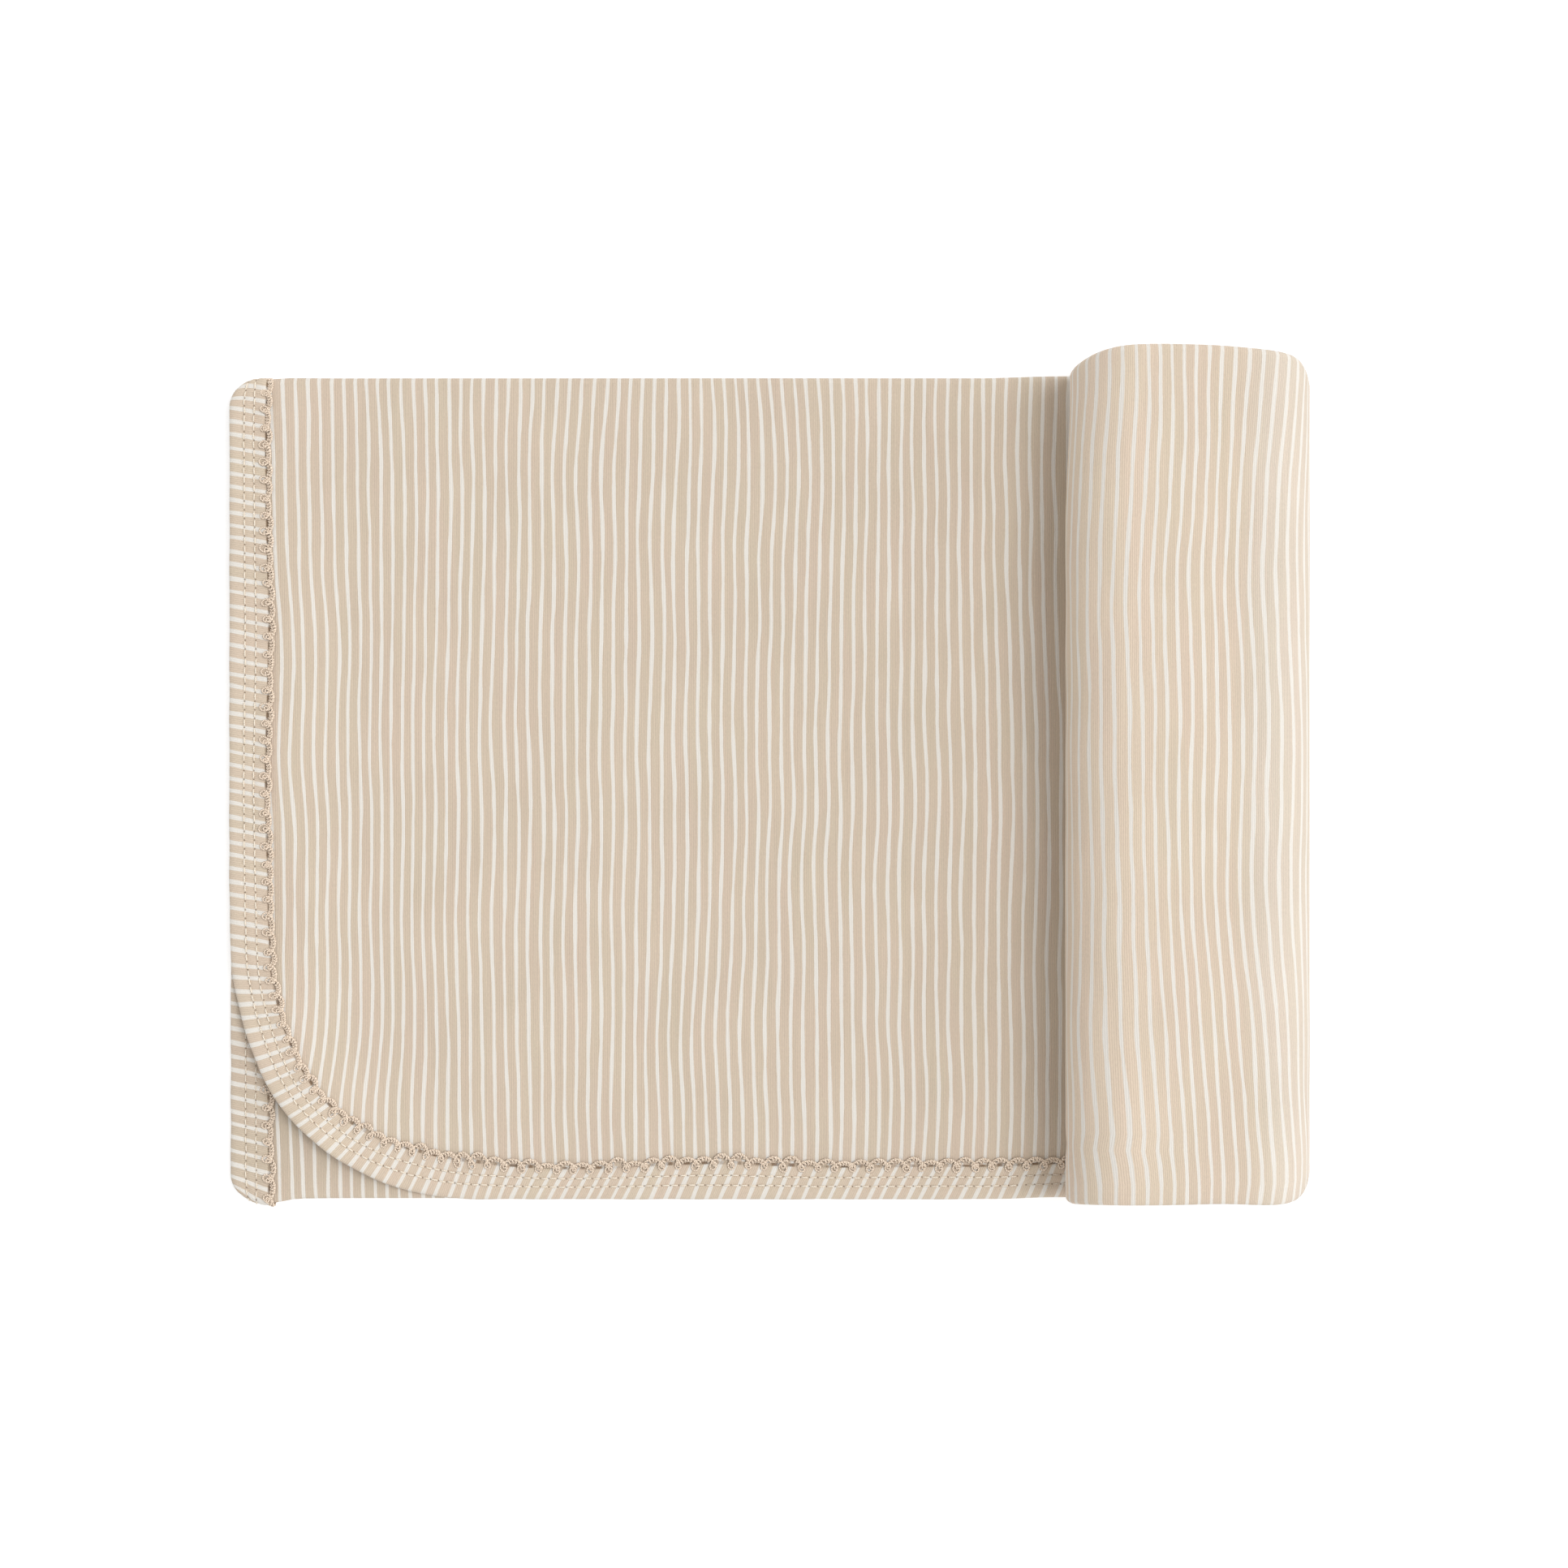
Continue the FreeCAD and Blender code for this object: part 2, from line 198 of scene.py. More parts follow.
def layer_heights(u, y):
    """Heights of the middles of the three layers over a place on the strip."""
    outer = flap_inset(u, y - LOW)
    inner = flap_inset(u, INNER_EDGE - y)
    # The bindings prop the layers up at the left edge, the outer edge and the inner edge
    at_left = 1 - smooth(u, 15, 46)
    at_outer = 1 - smooth(outer, 14, 34)
    at_inner = (1 - smooth(inner, 16, 42)) * smooth(inner, -30, -2)
    at_low_fold = 1 - smooth(y - LOW, 1, 13)
    # The outer flap's loose corner stands up a little
    loose = (1 - smooth(u, 30, 84)) * (1 - smooth(y - LOW, 34, 98)) * (1 - smooth(outer, 0, 44))
    back = 0.45 + 0.55 * at_left
    first = 1.15 + 0.9 * at_left + 0.6 * at_inner * (1 - at_left)
    first = first + 0.55 * at_low_fold * (1 - at_left)
    second = 1.3 + 0.55 * at_left + 0.5 * at_outer + 0.9 * at_inner * (1 - at_left)
    second = second + LOOSE_CORNER_LIFT * loose
    # In the roll the layers lie evenly
    rolled = smooth(u, CREASE_U - 34, CREASE_U + 12)
    back = back + (0.5 - back) * rolled
    first = first + (ROLLED_LAYER - first) * rolled
    second = second + (ROLLED_LAYER - second) * rolled
    swell = 1 + 0.05 * ripple(u, y, 11, 70) * (1 - at_left) * (1 - rolled)
    return back, (back + first * swell), (back + (first + second) * swell)


def section(u, v):
    """y and height of the cloth's middle, and the face's direction there."""
    low_turn = np.clip((v - V_LOW) / (V_BACK - V_LOW), 0, 1) * math.pi
    top_turn = np.clip((v - V_TOP) / (V_OUTER - V_TOP), 0, 1) * math.pi
    # The inner flap, the low fold, the back, the top fold and the outer flap
    stretches = [v < V_LOW, v < V_BACK, v < V_TOP, v < V_OUTER, v >= V_OUTER]
    y = np.select(stretches, [
        INNER_EDGE - v,
        LOW_BEND - LOW_LOOP * np.sin(low_turn),
        LOW_BEND + v - V_BACK,
        TOP_BEND + TOP_LOOP * np.sin(top_turn),
        TOP_BEND - (v - V_OUTER),
    ])
    back, inner, outer = layer_heights(u, y)
    height = np.select(stretches, [
        inner,
        (inner + back) / 2 + (inner - back) / 2 * np.cos(low_turn),
        back,
        (back + outer) / 2 - (outer - back) / 2 * np.cos(top_turn),
        outer,
    ])
    face_y = np.where(v < V_TOP, -np.sin(low_turn), np.sin(top_turn))
    face_h = np.where(v < V_TOP, np.cos(low_turn), -np.cos(top_turn))
    return y, height, face_y, face_h


def soft_corner(u, y, edge, side, radius):
    """Rounds the folded corner at the left edge; side is 1 at the strip's top and -1 at its low edge."""
    p = np.clip(1 - u / radius, 0, 1.2)
    q = np.clip(1 - side * (edge - y) / radius, 0, 1.2)
    near = (p > 0) & (q > 0)
    new_u = radius * (1 - p * np.sqrt(np.maximum(1 - q * q / 2, 0.1)))
    new_y = edge - side * radius * (1 - q * np.sqrt(np.maximum(1 - p * p / 2, 0.1)))
    return np.where(near, new_u, u), np.where(near, new_y, y)


def roll_ends(x, y, z, s):
    """Pulls the roll's two ends in at its sides and skews its wraps a little."""
    across = np.clip((x - ROLL_MIDDLE) / (ROLL_WIDTH / 2), -1, 1)
    raised = smooth(z, 4, 13)
    right = np.maximum(across, 0)
    left = np.maximum(-across, 0)
    at_top = 2.2 * smooth(right, 0.05, 1.1) + 8.8 * right ** 12 + 6.4 * left ** 5
    at_low = 9.0 * right ** 12 - 1.0 * smooth(right, 0.1, 0.7) - 1.6 * left ** 6
    top_end = smooth(y, HIGH + CREEP - 42, HIGH + CREEP) ** 2
    low_end = smooth(-y, -(LOW + CREEP + 34), -(LOW + CREEP)) ** 2
    y = y - at_top * top_end * raised + at_low * low_end * raised
    inner_wraps = smooth(s, WIND_START + 220, WIND_START + 420)
    return y + inner_wraps * 1.1 * np.sin(s / 31.0)


def soften_edges(u, v, y):
    """The strip's outline: rounded folds, the flap's side drawn in, the low fold's sag."""
    flat_u, flat_y = soft_corner(u, y, HIGH, 1, 10.5)
    flat_u, flat_y = soft_corner(flat_u, flat_y, LOW, -1, 8.6)
    on_flap = v > V_OUTER
    drawn_in = FLAP_DRAWN_IN * mound(y, LOW + 60, 24) * (1 - smooth(u, 8, 56))
    sag = FOLD_SAG * mound(u, 13, 6.5) * smooth(LOW - y, -14, 0)
    flat_u = flat_u + np.where(on_flap, drawn_in, 0)
    flat_y = flat_y - np.where(on_flap, 0, sag)
    # The bound end of the top fold is pressed level with the cloth's
    flat_y = flat_y - FOLD_TUCK * (1 - smooth(u, 14, 20)) * smooth(flat_y, HIGH - 12, HIGH)
    return flat_u, flat_y


def wrinkle_roll(u, flat_u, flat_y, height):
    """Soft wrinkles of the wound cloth, its slid wraps and the kink near its low end."""
    shown = smooth(u, WIND_START + 20, WIND_START + 60)
    across = np.clip((u - ROLL_CREST) / 40, -1, 1)
    on_left, on_right = np.maximum(across, 0), np.maximum(-across, 0)
    between = 1 - np.abs(across)
    at_top = smooth(flat_y, HIGH - 46, HIGH)
    at_low = smooth(-flat_y, -LOW - 96, -LOW)
    at_end = smooth(-flat_y, -LOW - 10, -LOW)
    slide = on_left * (2.5 * at_top + 3.2 * at_low - 2.5 * mound(flat_y, KINK_Y, 4.4))
    slide = slide + between * (0.4 * at_top + 4.9 * at_low)
    slide = slide + on_right * (5.0 * at_top + 7.2 * at_low - 2.2 * at_end)
    wavy = 0.35 * ripple(u, flat_y, 5, 60)
    flat_u = flat_u + (wavy - slide) * shown * (1 - smooth(u, 420, 560))
    dent = 0.45 * mound(flat_y, KINK_Y, 3.2) * on_left * shown
    puckers = 0.12 * np.sin(flat_u / 0.62) * mound(flat_y, LOW + 10, 7) * on_left * shown
    height = height + dent + puckers + 0.16 * ripple(u, flat_y, 8, 34) * shown
    return flat_u, height


def settle_roll(x, y, z, rolled):
    """Crowns the roll's top, bulges its left side and leans it down to its right."""
    crown = ROLL_CROWN * np.cos(np.clip((x - ROLL_MIDDLE + 6) / 34.0, -1.57, 1.57)) * rolled
    z = z + crown * smooth(z, 20, ROLL_TOP)
    bulge = ROLL_BULGE * smooth(HIGH - y, 16, 50) * smooth(ROLL_RIGHT - x, ROLL_WIDTH - 26, ROLL_WIDTH)
    x = x - bulge * smooth(z, 4, 13) * rolled
    drop = ROLL_LEAN * smooth(x, ROLL_RIGHT - 60, ROLL_RIGHT - 16)
    return x, z * (1 - drop / ROLL_TOP * rolled)


def place(u, v, lift):
    """Cloth millimetres and a height off the cloth's middle, to frame millimetres."""
    u, v, lift = np.broadcast_arrays(np.asarray(u, float), np.asarray(v, float), np.asarray(lift, float))
    y, height, face_y, face_h = section(u, v)
    y = y + face_y * lift
    height = height + face_h * lift
    flat_u, flat_y = soften_edges(u, v, y)
    flat_u, height = wrinkle_roll(u, flat_u, flat_y, height)
    # The roll has crept along y, starting just before the crease, and grown a little longer
    before_crease = 0.7
    flat_y = flat_y + (CREEP - before_crease) * smooth(u, CREASE_U, CREASE_U + 62)
    flat_y = flat_y + before_crease * smooth(u, CREASE_U - 30, CREASE_U)
    rolled = smooth(u, CREASE_U + 2, CREASE_U + 40)
    flat_y = flat_y * (1 + 0.006 * rolled)
    x, z = wind(flat_u, height)
    x, z = settle_roll(x, flat_y, z, rolled)
    flat_y = np.where(u > CREASE_U, roll_ends(x, flat_y, z, u), flat_y)
    return np.stack([x, flat_y, z], axis=-1)


# ---------------------------------------------------------------- mesh building


def new_object(name, verts, faces, uvs, materials, slots=None, sharp=None):
    """A smooth mesh object from frame millimetres, with one UV pair per vertex and layer.

    An edge between two sharp vertices is shaded sharp.
    """
    mesh = bpy.data.meshes.new(name)
    mesh.from_pydata((np.asarray(verts) * MM).tolist(), [], [list(map(int, f)) for f in faces])
    mesh.polygons.foreach_set("use_smooth", [True] * len(mesh.polygons))
    loops = np.empty(len(mesh.loops), int)
    mesh.loops.foreach_get("vertex_index", loops)
    for layer_name, values in uvs.items():
        layer = mesh.uv_layers.new(name=layer_name)
        layer.data.foreach_set("uv", (np.asarray(values)[loops]).astype(np.float32).ravel())
    for material in materials:
        mesh.materials.append(material)
    if slots is not None:
        mesh.polygons.foreach_set("material_index", slots)
    if sharp is not None:
        ends = np.empty(len(mesh.edges) * 2, int)
        mesh.edges.foreach_get("vertices", ends)
        ends = ends.reshape(-1, 2)
        flags = sharp[ends[:, 0]] & sharp[ends[:, 1]]
        attribute = mesh.attributes.new("sharp_edge", "BOOLEAN", "EDGE")
        attribute.data.foreach_set("value", flags)
    mesh.update()
    obj = bpy.data.objects.new(name, mesh)
    bpy.context.scene.collection.objects.link(obj)
    return obj


def row_ends(v, u_low, u_high):
    """Where a row of cloth starts and stops, inside the rounded outline."""
    radius = CORNER - EDGE_GAP
    past = min(max(CORNER - v, v - (V_END - CORNER), 0.0), radius)
    pulled = CORNER - math.sqrt(radius * radius - past * past) if past > 0 else EDGE_GAP
    start = pulled if u_low <= 0 else u_low
    stop = LENGTH - pulled if u_high >= LENGTH else u_high
    return start, stop


def corner_rows(toward_end):
    """Rows in v that follow a rounded corner, close together at its far side."""
    angles = np.linspace(0, math.pi / 2, 26)
    past = (CORNER - EDGE_GAP) * np.sin(angles)
    if toward_end:
        return V_END - CORNER + past
    return (CORNER - past)[::-1]


def cloth_columns():
    """Places along the strip: coarse on the flat, finer where it bends."""
    flat_step, under_step, bend_step = 4.2, 4.0, 2.3
    run_columns = 9
    columns = list(np.arange(0, SEAM_U, flat_step)[:-1])
    columns += list(np.arange(SEAM_U, WIND_START, under_step)[:-1])
    begin = WIND_START
    for number in range(HALF_TURNS):
        arc = math.pi * (ROLL_R - number * ROLL_PITCH / 2 - TRUE_DEPTH)
        count = max(7, int(arc / bend_step))
        columns += list(begin + arc * np.arange(count) / count)
        begin += arc
        columns += list(begin + RUN * np.arange(run_columns) / run_columns)
        begin += RUN
    columns = np.array(columns)
    return np.append(columns[columns < LENGTH - 1.0], LENGTH)


def cloth_piece(name, rows, u_low, u_high, materials):
    """A closed sheet of cloth over the given rows, between two places along u."""
    columns = cloth_columns()
    inside = columns[(columns > u_low + 0.5) & (columns < u_high - 0.5)]
    base = np.concatenate([[u_low], inside, [u_high]])
    share = (base - u_low) / (u_high - u_low)
    u = np.empty((len(rows), len(base)))
    for number, v in enumerate(rows):
        start, stop = row_ends(v, u_low, u_high)
        near = np.maximum(start - u_low, 0) * (1 - share) ** 2
        far = np.maximum(u_high - stop, 0) * share ** 6
        u[number] = base + near - far
    v = np.repeat(np.asarray(rows)[:, None], len(base), axis=1)
    verts = []
    for lift in (CLOTH_HALF, -CLOTH_HALF):
        verts.append(place(u, v, lift).reshape(-1, 3))
    count = u.size
    index = np.arange(count).reshape(u.shape)
    a, b = index[:-1, :-1].ravel(), index[:-1, 1:].ravel()
    c, d = index[1:, 1:].ravel(), index[1:, :-1].ravel()
    face = np.stack([a, b, c, d], axis=1)
    back = np.stack([a, d, c, b], axis=1) + count
    rim = np.concatenate([index[0, :], index[1:, -1], index[-1, -2::-1], index[-2:0:-1, 0]])
    after = np.roll(rim, -1)
    side = np.stack([rim, rim + count, after + count, after], axis=1)
    faces = np.concatenate([face, back, side])
    slots = np.concatenate([np.zeros(len(face)), np.ones(len(back)), np.ones(len(side))]).astype(int)
    uv = np.stack([u.ravel(), v.ravel()], axis=1) * MM
    sharp = np.zeros(2 * count, bool)
    sharp[rim] = True
    sharp[rim + count] = True
    return new_object(name, np.concatenate(verts), faces, {"cloth": np.concatenate([uv, uv])},
                      materials, slots=slots, sharp=sharp)


# ---------------------------------------------------------------- the cloth's edge


def outline():
    """Stretches of the blanket's edge, from the middle of the top fold round to it again.

    A line has its start, heading and length; a turn its centre, first angle and length.
    """
    turn = CORNER * math.pi / 2
    half = (V_TOP + V_OUTER) / 2
    return [
        ("line", (0, half), (0, 1), V_END - CORNER - half),
        ("turn", (CORNER, V_END - CORNER), math.pi, turn),
        ("line", (CORNER, V_END), (1, 0), LENGTH - 2 * CORNER),
        ("turn", (LENGTH - CORNER, V_END - CORNER), math.pi / 2, turn),
        ("line", (LENGTH, V_END - CORNER), (0, -1), V_END - 2 * CORNER),
        ("turn", (LENGTH - CORNER, CORNER), 0.0, turn),
        ("line", (LENGTH - CORNER, 0), (-1, 0), LENGTH - 2 * CORNER),
        ("turn", (CORNER, CORNER), -math.pi / 2, turn),
        ("line", (0, CORNER), (0, 1), half - CORNER),
    ]


EDGE_LENGTHS = [part[3] for part in outline()]
EDGE_TOTAL = sum(EDGE_LENGTHS)
# Ways p round the edge: where the bottom edge starts, where the outer pieces stop at the flap's
# seam, and where the inner ones start
BOTTOM_START = EDGE_LENGTHS[0] + EDGE_LENGTHS[1]
OUTER_STOP = BOTTOM_START + SEAM_U - CORNER
INNER_START = sum(EDGE_LENGTHS[:6]) + (LENGTH - CORNER) - SEAM_U
# The stretch of the lower layer's left edge that shows below the outer flap
LAST_LINE = sum(EDGE_LENGTHS[:8])
LOWER_SHOWN = (LAST_LINE + V_LOW - 2 * CORNER, LAST_LINE + V_LOW - CORNER + 1.5)


def edge_point(p, inset, lift):
    """Frame place of a point by its way p round the edge, its inset and its lift."""
    p, inset, lift = np.broadcast_arrays(np.asarray(p, float), np.asarray(inset, float),
                                         np.asarray(lift, float))
    # The bottom binding is drawn in narrower, and all of it varies a little in width
    drawn = 0.12 * smooth(p, BOTTOM_START - 30, BOTTOM_START + 20)
    drawn = drawn * (1 - smooth(p, OUTER_STOP + 16, OUTER_STOP + 60))
    wander = 0.05 * ripple(p, p * 0, 58, 52.0)
    inset = inset * (1 - drawn + wander)
    u = np.zeros(p.shape)
    v = np.zeros(p.shape)
    begin = 0.0
    for kind, origin, way, length in outline():
        here = (p >= begin) & (p <= begin + length + 1e-6) if begin else p <= length
        along = p - begin
        if kind == "line":
            # Inward is to the right of the heading
            new_u = origin[0] + way[0] * along + way[1] * inset
            new_v = origin[1] + way[1] * along - way[0] * inset
        else:
            angle = way - along / CORNER
            new_u = origin[0] + (CORNER - inset) * np.cos(angle)
            new_v = origin[1] + (CORNER - inset) * np.sin(angle)
        u = np.where(here, new_u, u)
        v = np.where(here, new_v, v)
        begin += length
    return place(u, v, lift)


STITCH_PITCH = 3.04
STITCH_ROWS = (5.4, 9.0)
# The tape's face in section, from its inner flange to the edge: inset from the edge and lift off
# the cloth's middle, pulled down in a groove at each row of stitches
# The flange shows only under the trim's arches, where it carries painted shade
TAPE_FACE = ((14.2, 0.40), (14.1, 0.50), (13.4, 0.50), (13.2, 0.78), (12.7, 0.95), (11.8, 0.99),
             (10.6, 0.96), (9.7, 0.86), (9.0, 0.72), (8.3, 0.86), (7.2, 0.95), (6.1, 0.86),
             (5.4, 0.72), (4.7, 0.86), (3.6, 0.97), (2.2, 0.99), (1.0, 0.86), (0.3, 0.52))
FLANGE_POINTS = 4
# The tape is cut from its own place in the print, and sewn on a little stretched
TAPE_PRINT = (4000, 3000)
TAPE_STRETCH = 0.9


def tape_slant(ways, insets, rolled):
    """Ways along the tape, slanted as its stripes are."""
    slant = 0.16 + 0.24 * smooth(ways, BOTTOM_START - 40, BOTTOM_START + 40) * (1 - rolled)
    slant = slant - 0.22 * smooth(ways, INNER_START - 40, INNER_START)
    return ways - slant * (insets - 6.0)


def binding_piece(name, start, stop, step, material):
    """The tape along part of the edge, puckered at every stitch."""
    count = int((stop - start) / step)
    p = start + (stop - start) * np.arange(count + 1) / count
    face = np.array(TAPE_FACE)
    # The reverse mirrors the face without its flange
    reverse = face[:FLANGE_POINTS - 1:-1] * np.array([1, -1])
    loop = np.concatenate([face, [[0.0, 0.0]], reverse, [[BINDING, -0.80], [BINDING, -0.42]]])
    points = len(loop)
    ways, insets = np.meshgrid(p, loop[:, 0], indexing="ij")
    lifts = np.repeat(loop[:, 1][None, :], len(p), axis=0)
    pucker = np.cos(2 * math.pi * ways / STITCH_PITCH)
    in_groove = sum(mound(insets, row, 0.8) for row in STITCH_ROWS)
    lifts = lifts - np.sign(lifts) * in_groove * 0.07 * pucker
    middle = smooth(insets, 0.2, 2.0) * (1 - smooth(insets, 12.2, 13.2))
    lifts = lifts * (1 + 0.06 * ripple(ways, insets * 2.0, 21, 9.0) * middle)
    rolled = smooth(ways, OUTER_STOP, OUTER_STOP + 40) * (1 - smooth(ways, INNER_START - 40, INNER_START))
    lifts = lifts * (1 - 0.13 * rolled)
    wander = 0.09 * ripple(ways, ways * 0, 31, 16.0)
    inner_wander = 0.22 * ripple(ways, ways * 0, 33, 11.0)
    insets = insets + wander * (1 - insets / BINDING) + inner_wander * smooth(insets, 9, BINDING)
    verts = edge_point(ways, insets, lifts).reshape(-1, 3)
    index = np.arange(len(p) * points).reshape(len(p), points)
    following = np.roll(index, -1, axis=1)
    a, b = index[:-1].ravel(), following[:-1].ravel()
    c, d = following[1:].ravel(), index[1:].ravel()
    faces = np.stack([a, b, c, d], axis=1).tolist()
    faces.append(index[0][::-1].tolist())
    faces.append(index[-1].tolist())
    stripe = tape_slant(ways, insets, rolled)
    cloth_uv = np.stack([stripe.ravel() * TAPE_STRETCH + TAPE_PRINT[0],
                         insets.ravel() + TAPE_PRINT[1]], axis=1) * MM
    stitch_uv = np.stack([ways.ravel(), insets.ravel()], axis=1) * MM
    sharp = np.zeros(len(verts), bool)
    sharp[:points] = True
    sharp[-points:] = True
    return new_object(name, verts, faces, {"cloth": cloth_uv, "stitch": stitch_uv}, (material,),
                      sharp=sharp)


def unit(vectors):
    """The vectors at length 1."""
    return vectors / (np.linalg.norm(vectors, axis=1)[:, None] + 1e-9)


def tubes(name, paths, radius, sides, material):
    """Threads along paths of edge places (p, inset, lift), joined in one mesh."""
    thin_end = 0.45
    angles = 2 * math.pi * np.arange(sides) / sides
    verts, faces, uvs = [], [], []
    base = 0
    for path in paths:
        centre = edge_point(path[:, 0], path[:, 1], path[:, 2])
        tangent = unit(np.gradient(centre, axis=0))
        up = edge_point(path[:, 0], path[:, 1], path[:, 2] + 0.3) - centre
        side = unit(np.cross(tangent, up))
        up = np.cross(side, tangent)
        size = np.full(len(path), radius)
        size[[0, -1]] *= thin_end
        ring = (side[:, None, :] * np.cos(angles)[None, :, None]
                + up[:, None, :] * np.sin(angles)[None, :, None]) * size[:, None, None]
        verts.append((centre[:, None, :] + ring).reshape(-1, 3))
        length = np.concatenate([[0], np.cumsum(np.linalg.norm(np.diff(centre, axis=0), axis=1))])
        uvs.append(np.stack([np.repeat(length, sides) * MM,
                             np.tile(angles / (2 * math.pi), len(path))], axis=1))
        index = base + np.arange(len(path) * sides).reshape(len(path), sides)
        following = np.roll(index, -1, axis=1)
        a, b = index[:-1].ravel(), following[:-1].ravel()
        c, d = following[1:].ravel(), index[1:].ravel()
        faces += np.stack([a, b, c, d], axis=1).tolist()
        faces.append(index[0][::-1].tolist())
        faces.append(index[-1].tolist())
        base += len(path) * sides
    return new_object(name, np.concatenate(verts), faces, {"thread": np.concatenate(uvs)}, (material,))


def stitch_paths(start, stop, points):
    """One short bowed thread for each stitch of the two rows."""
    rng = random.Random(4)
    # A stitch fills this much of its pitch, between two needle holes
    hole, shown = 0.06, 0.88
    t = np.linspace(0, 1, points)
    paths = []
    for row in STITCH_ROWS:
        first = math.ceil(start / STITCH_PITCH - 0.5)
        last = math.floor(stop / STITCH_PITCH - 0.5)
        for number in range(first, last):
            shift = rng.uniform(-0.12, 0.12)
            lean = rng.uniform(-0.16, 0.16)
            p = (number + 0.5 + hole + shown * t) * STITCH_PITCH
            inset = row + shift + lean * (t - 0.5)
            lift = 0.66 + 0.40 * np.sin(math.pi * t) ** 0.5
            paths.append(np.stack([p, inset, lift], axis=1))
    return paths


def looper_path(start, stop):
    """The looper thread on the reverse, back and forth between the two rows."""
    steps_per_stitch = 8
    count = int((stop - start) / STITCH_PITCH * steps_per_stitch)
    p = np.linspace(start + 1, stop - 1, count)
    phase = 2 * math.pi * p / STITCH_PITCH
    inset = sum(STITCH_ROWS) / 2 + 1.9 * np.sin(phase)
    return [np.stack([p + 0.5 * np.sin(2 * phase), inset, np.full(count, -1.04)], axis=1)]


SCALLOP = 6.1
CURL_PITCH = 2.05


def pressed(p, lift):
    """Lifts of the trim's threads, pressed flat where layers or the floor lie on them."""
    flat_lift = 0.55
    shown = smooth(p, 2.5, 10) * (1 - smooth(p, OUTER_STOP + 30, OUTER_STOP + 60))
    low, high = LOWER_SHOWN
    shown = shown + smooth(p, low - 6, low) * (1 - smooth(p, high, high + 2))
    return lift - (lift - flat_lift) * 0.9 * (1 - shown)


def chain_centre(p, arch, height):
    """Inset of the trim's chain, which stands in arches, taller along the bottom."""
    along_bottom = smooth(p, BOTTOM_START - 90, BOTTOM_START - 10)
    along_bottom = along_bottom * (1 - smooth(p, OUTER_STOP + 60, OUTER_STOP + 99))
    tall = 1.0 + 1.15 * along_bottom
    return 13.75 + tall * (0.95 * arch * height - 0.22 * (1 - arch)) + 0.2 * ripple(p, p * 0, 41, 9.0)


def foot_curls(number, rng):
    """A large curl over the binding at the foot of an arch, and a small one on it."""
    middle = number * SCALLOP + rng.uniform(-0.35, 0.35)
    size = rng.uniform(0.9, 1.25)
    lean = rng.uniform(-0.3, 0.3)
    turn = np.linspace(-0.1, 1.1, 15) * 2 * math.pi
    way = middle + size * 1.05 * np.sin(turn) + lean * (1 - np.cos(turn))
    inset = 14.1 - size * 1.35 * (1 - np.cos(turn))
    lift = 1.42 + 0.12 * np.sin(turn) + 0.1 * np.cos(turn)
    large = np.stack([way, inset, pressed(way, lift)], axis=1)
    turn = np.linspace(0, 1, 12) * 2 * math.pi
    way = middle + 0.35 + 0.62 * np.sin(turn)
    inset = 13.1 + 0.55 * np.cos(turn) * size
    small = np.stack([way, inset, pressed(way, lift[:12] + 0.12)], axis=1)
    return [large, small]


def trim_paths(start, stop, fine):
    """Threads of the picot trim: a plaited chain in arches, with curls at each foot."""
    rng = random.Random(9)
    first = math.ceil(start / SCALLOP)
    last = math.floor(stop / SCALLOP)
    heights = [rng.uniform(0.4, 1.35) for _ in range(first, last + 2)]
    steps_per_arch = 30 if fine else 7
    count = (last - first) * steps_per_arch
    steps = first + np.arange(count + 1) / steps_per_arch
    p = SCALLOP * steps
    arch = np.abs(np.sin(math.pi * steps)) ** 0.8
    height = np.array(heights)[np.floor(steps - first).astype(int)]
    centre = chain_centre(p, arch, height)
    ride = 0.98 + 0.22 * (1 - arch)
    if not fine:
        return [np.stack([p, centre, pressed(p, ride)], axis=1)]
    # Two threads loop round each other along the chain
    paths = []
    for number in range(2):
        turn = 2 * math.pi * (p / CURL_PITCH + number / 2)
        way = p + 0.72 * np.sin(turn)
        inset = centre + 0.12 + 0.76 * np.cos(turn)
        lift = ride + 0.15 + 0.3 * np.sin(turn + 0.6)
        paths.append(np.stack([way, inset, pressed(p, lift)], axis=1))
    for number in range(first, last):
        paths += foot_curls(number, rng)
    return paths


# ---------------------------------------------------------------- materials


def linear(r, g, b):
    """A screen colour from 0 to 255 as linear light."""
    values = []
    for c in (r, g, b):
        c = c / 255
        values.append(c / 12.92 if c <= 0.04045 else ((c + 0.055) / 1.055) ** 2.4)
    return (*values, 1.0)


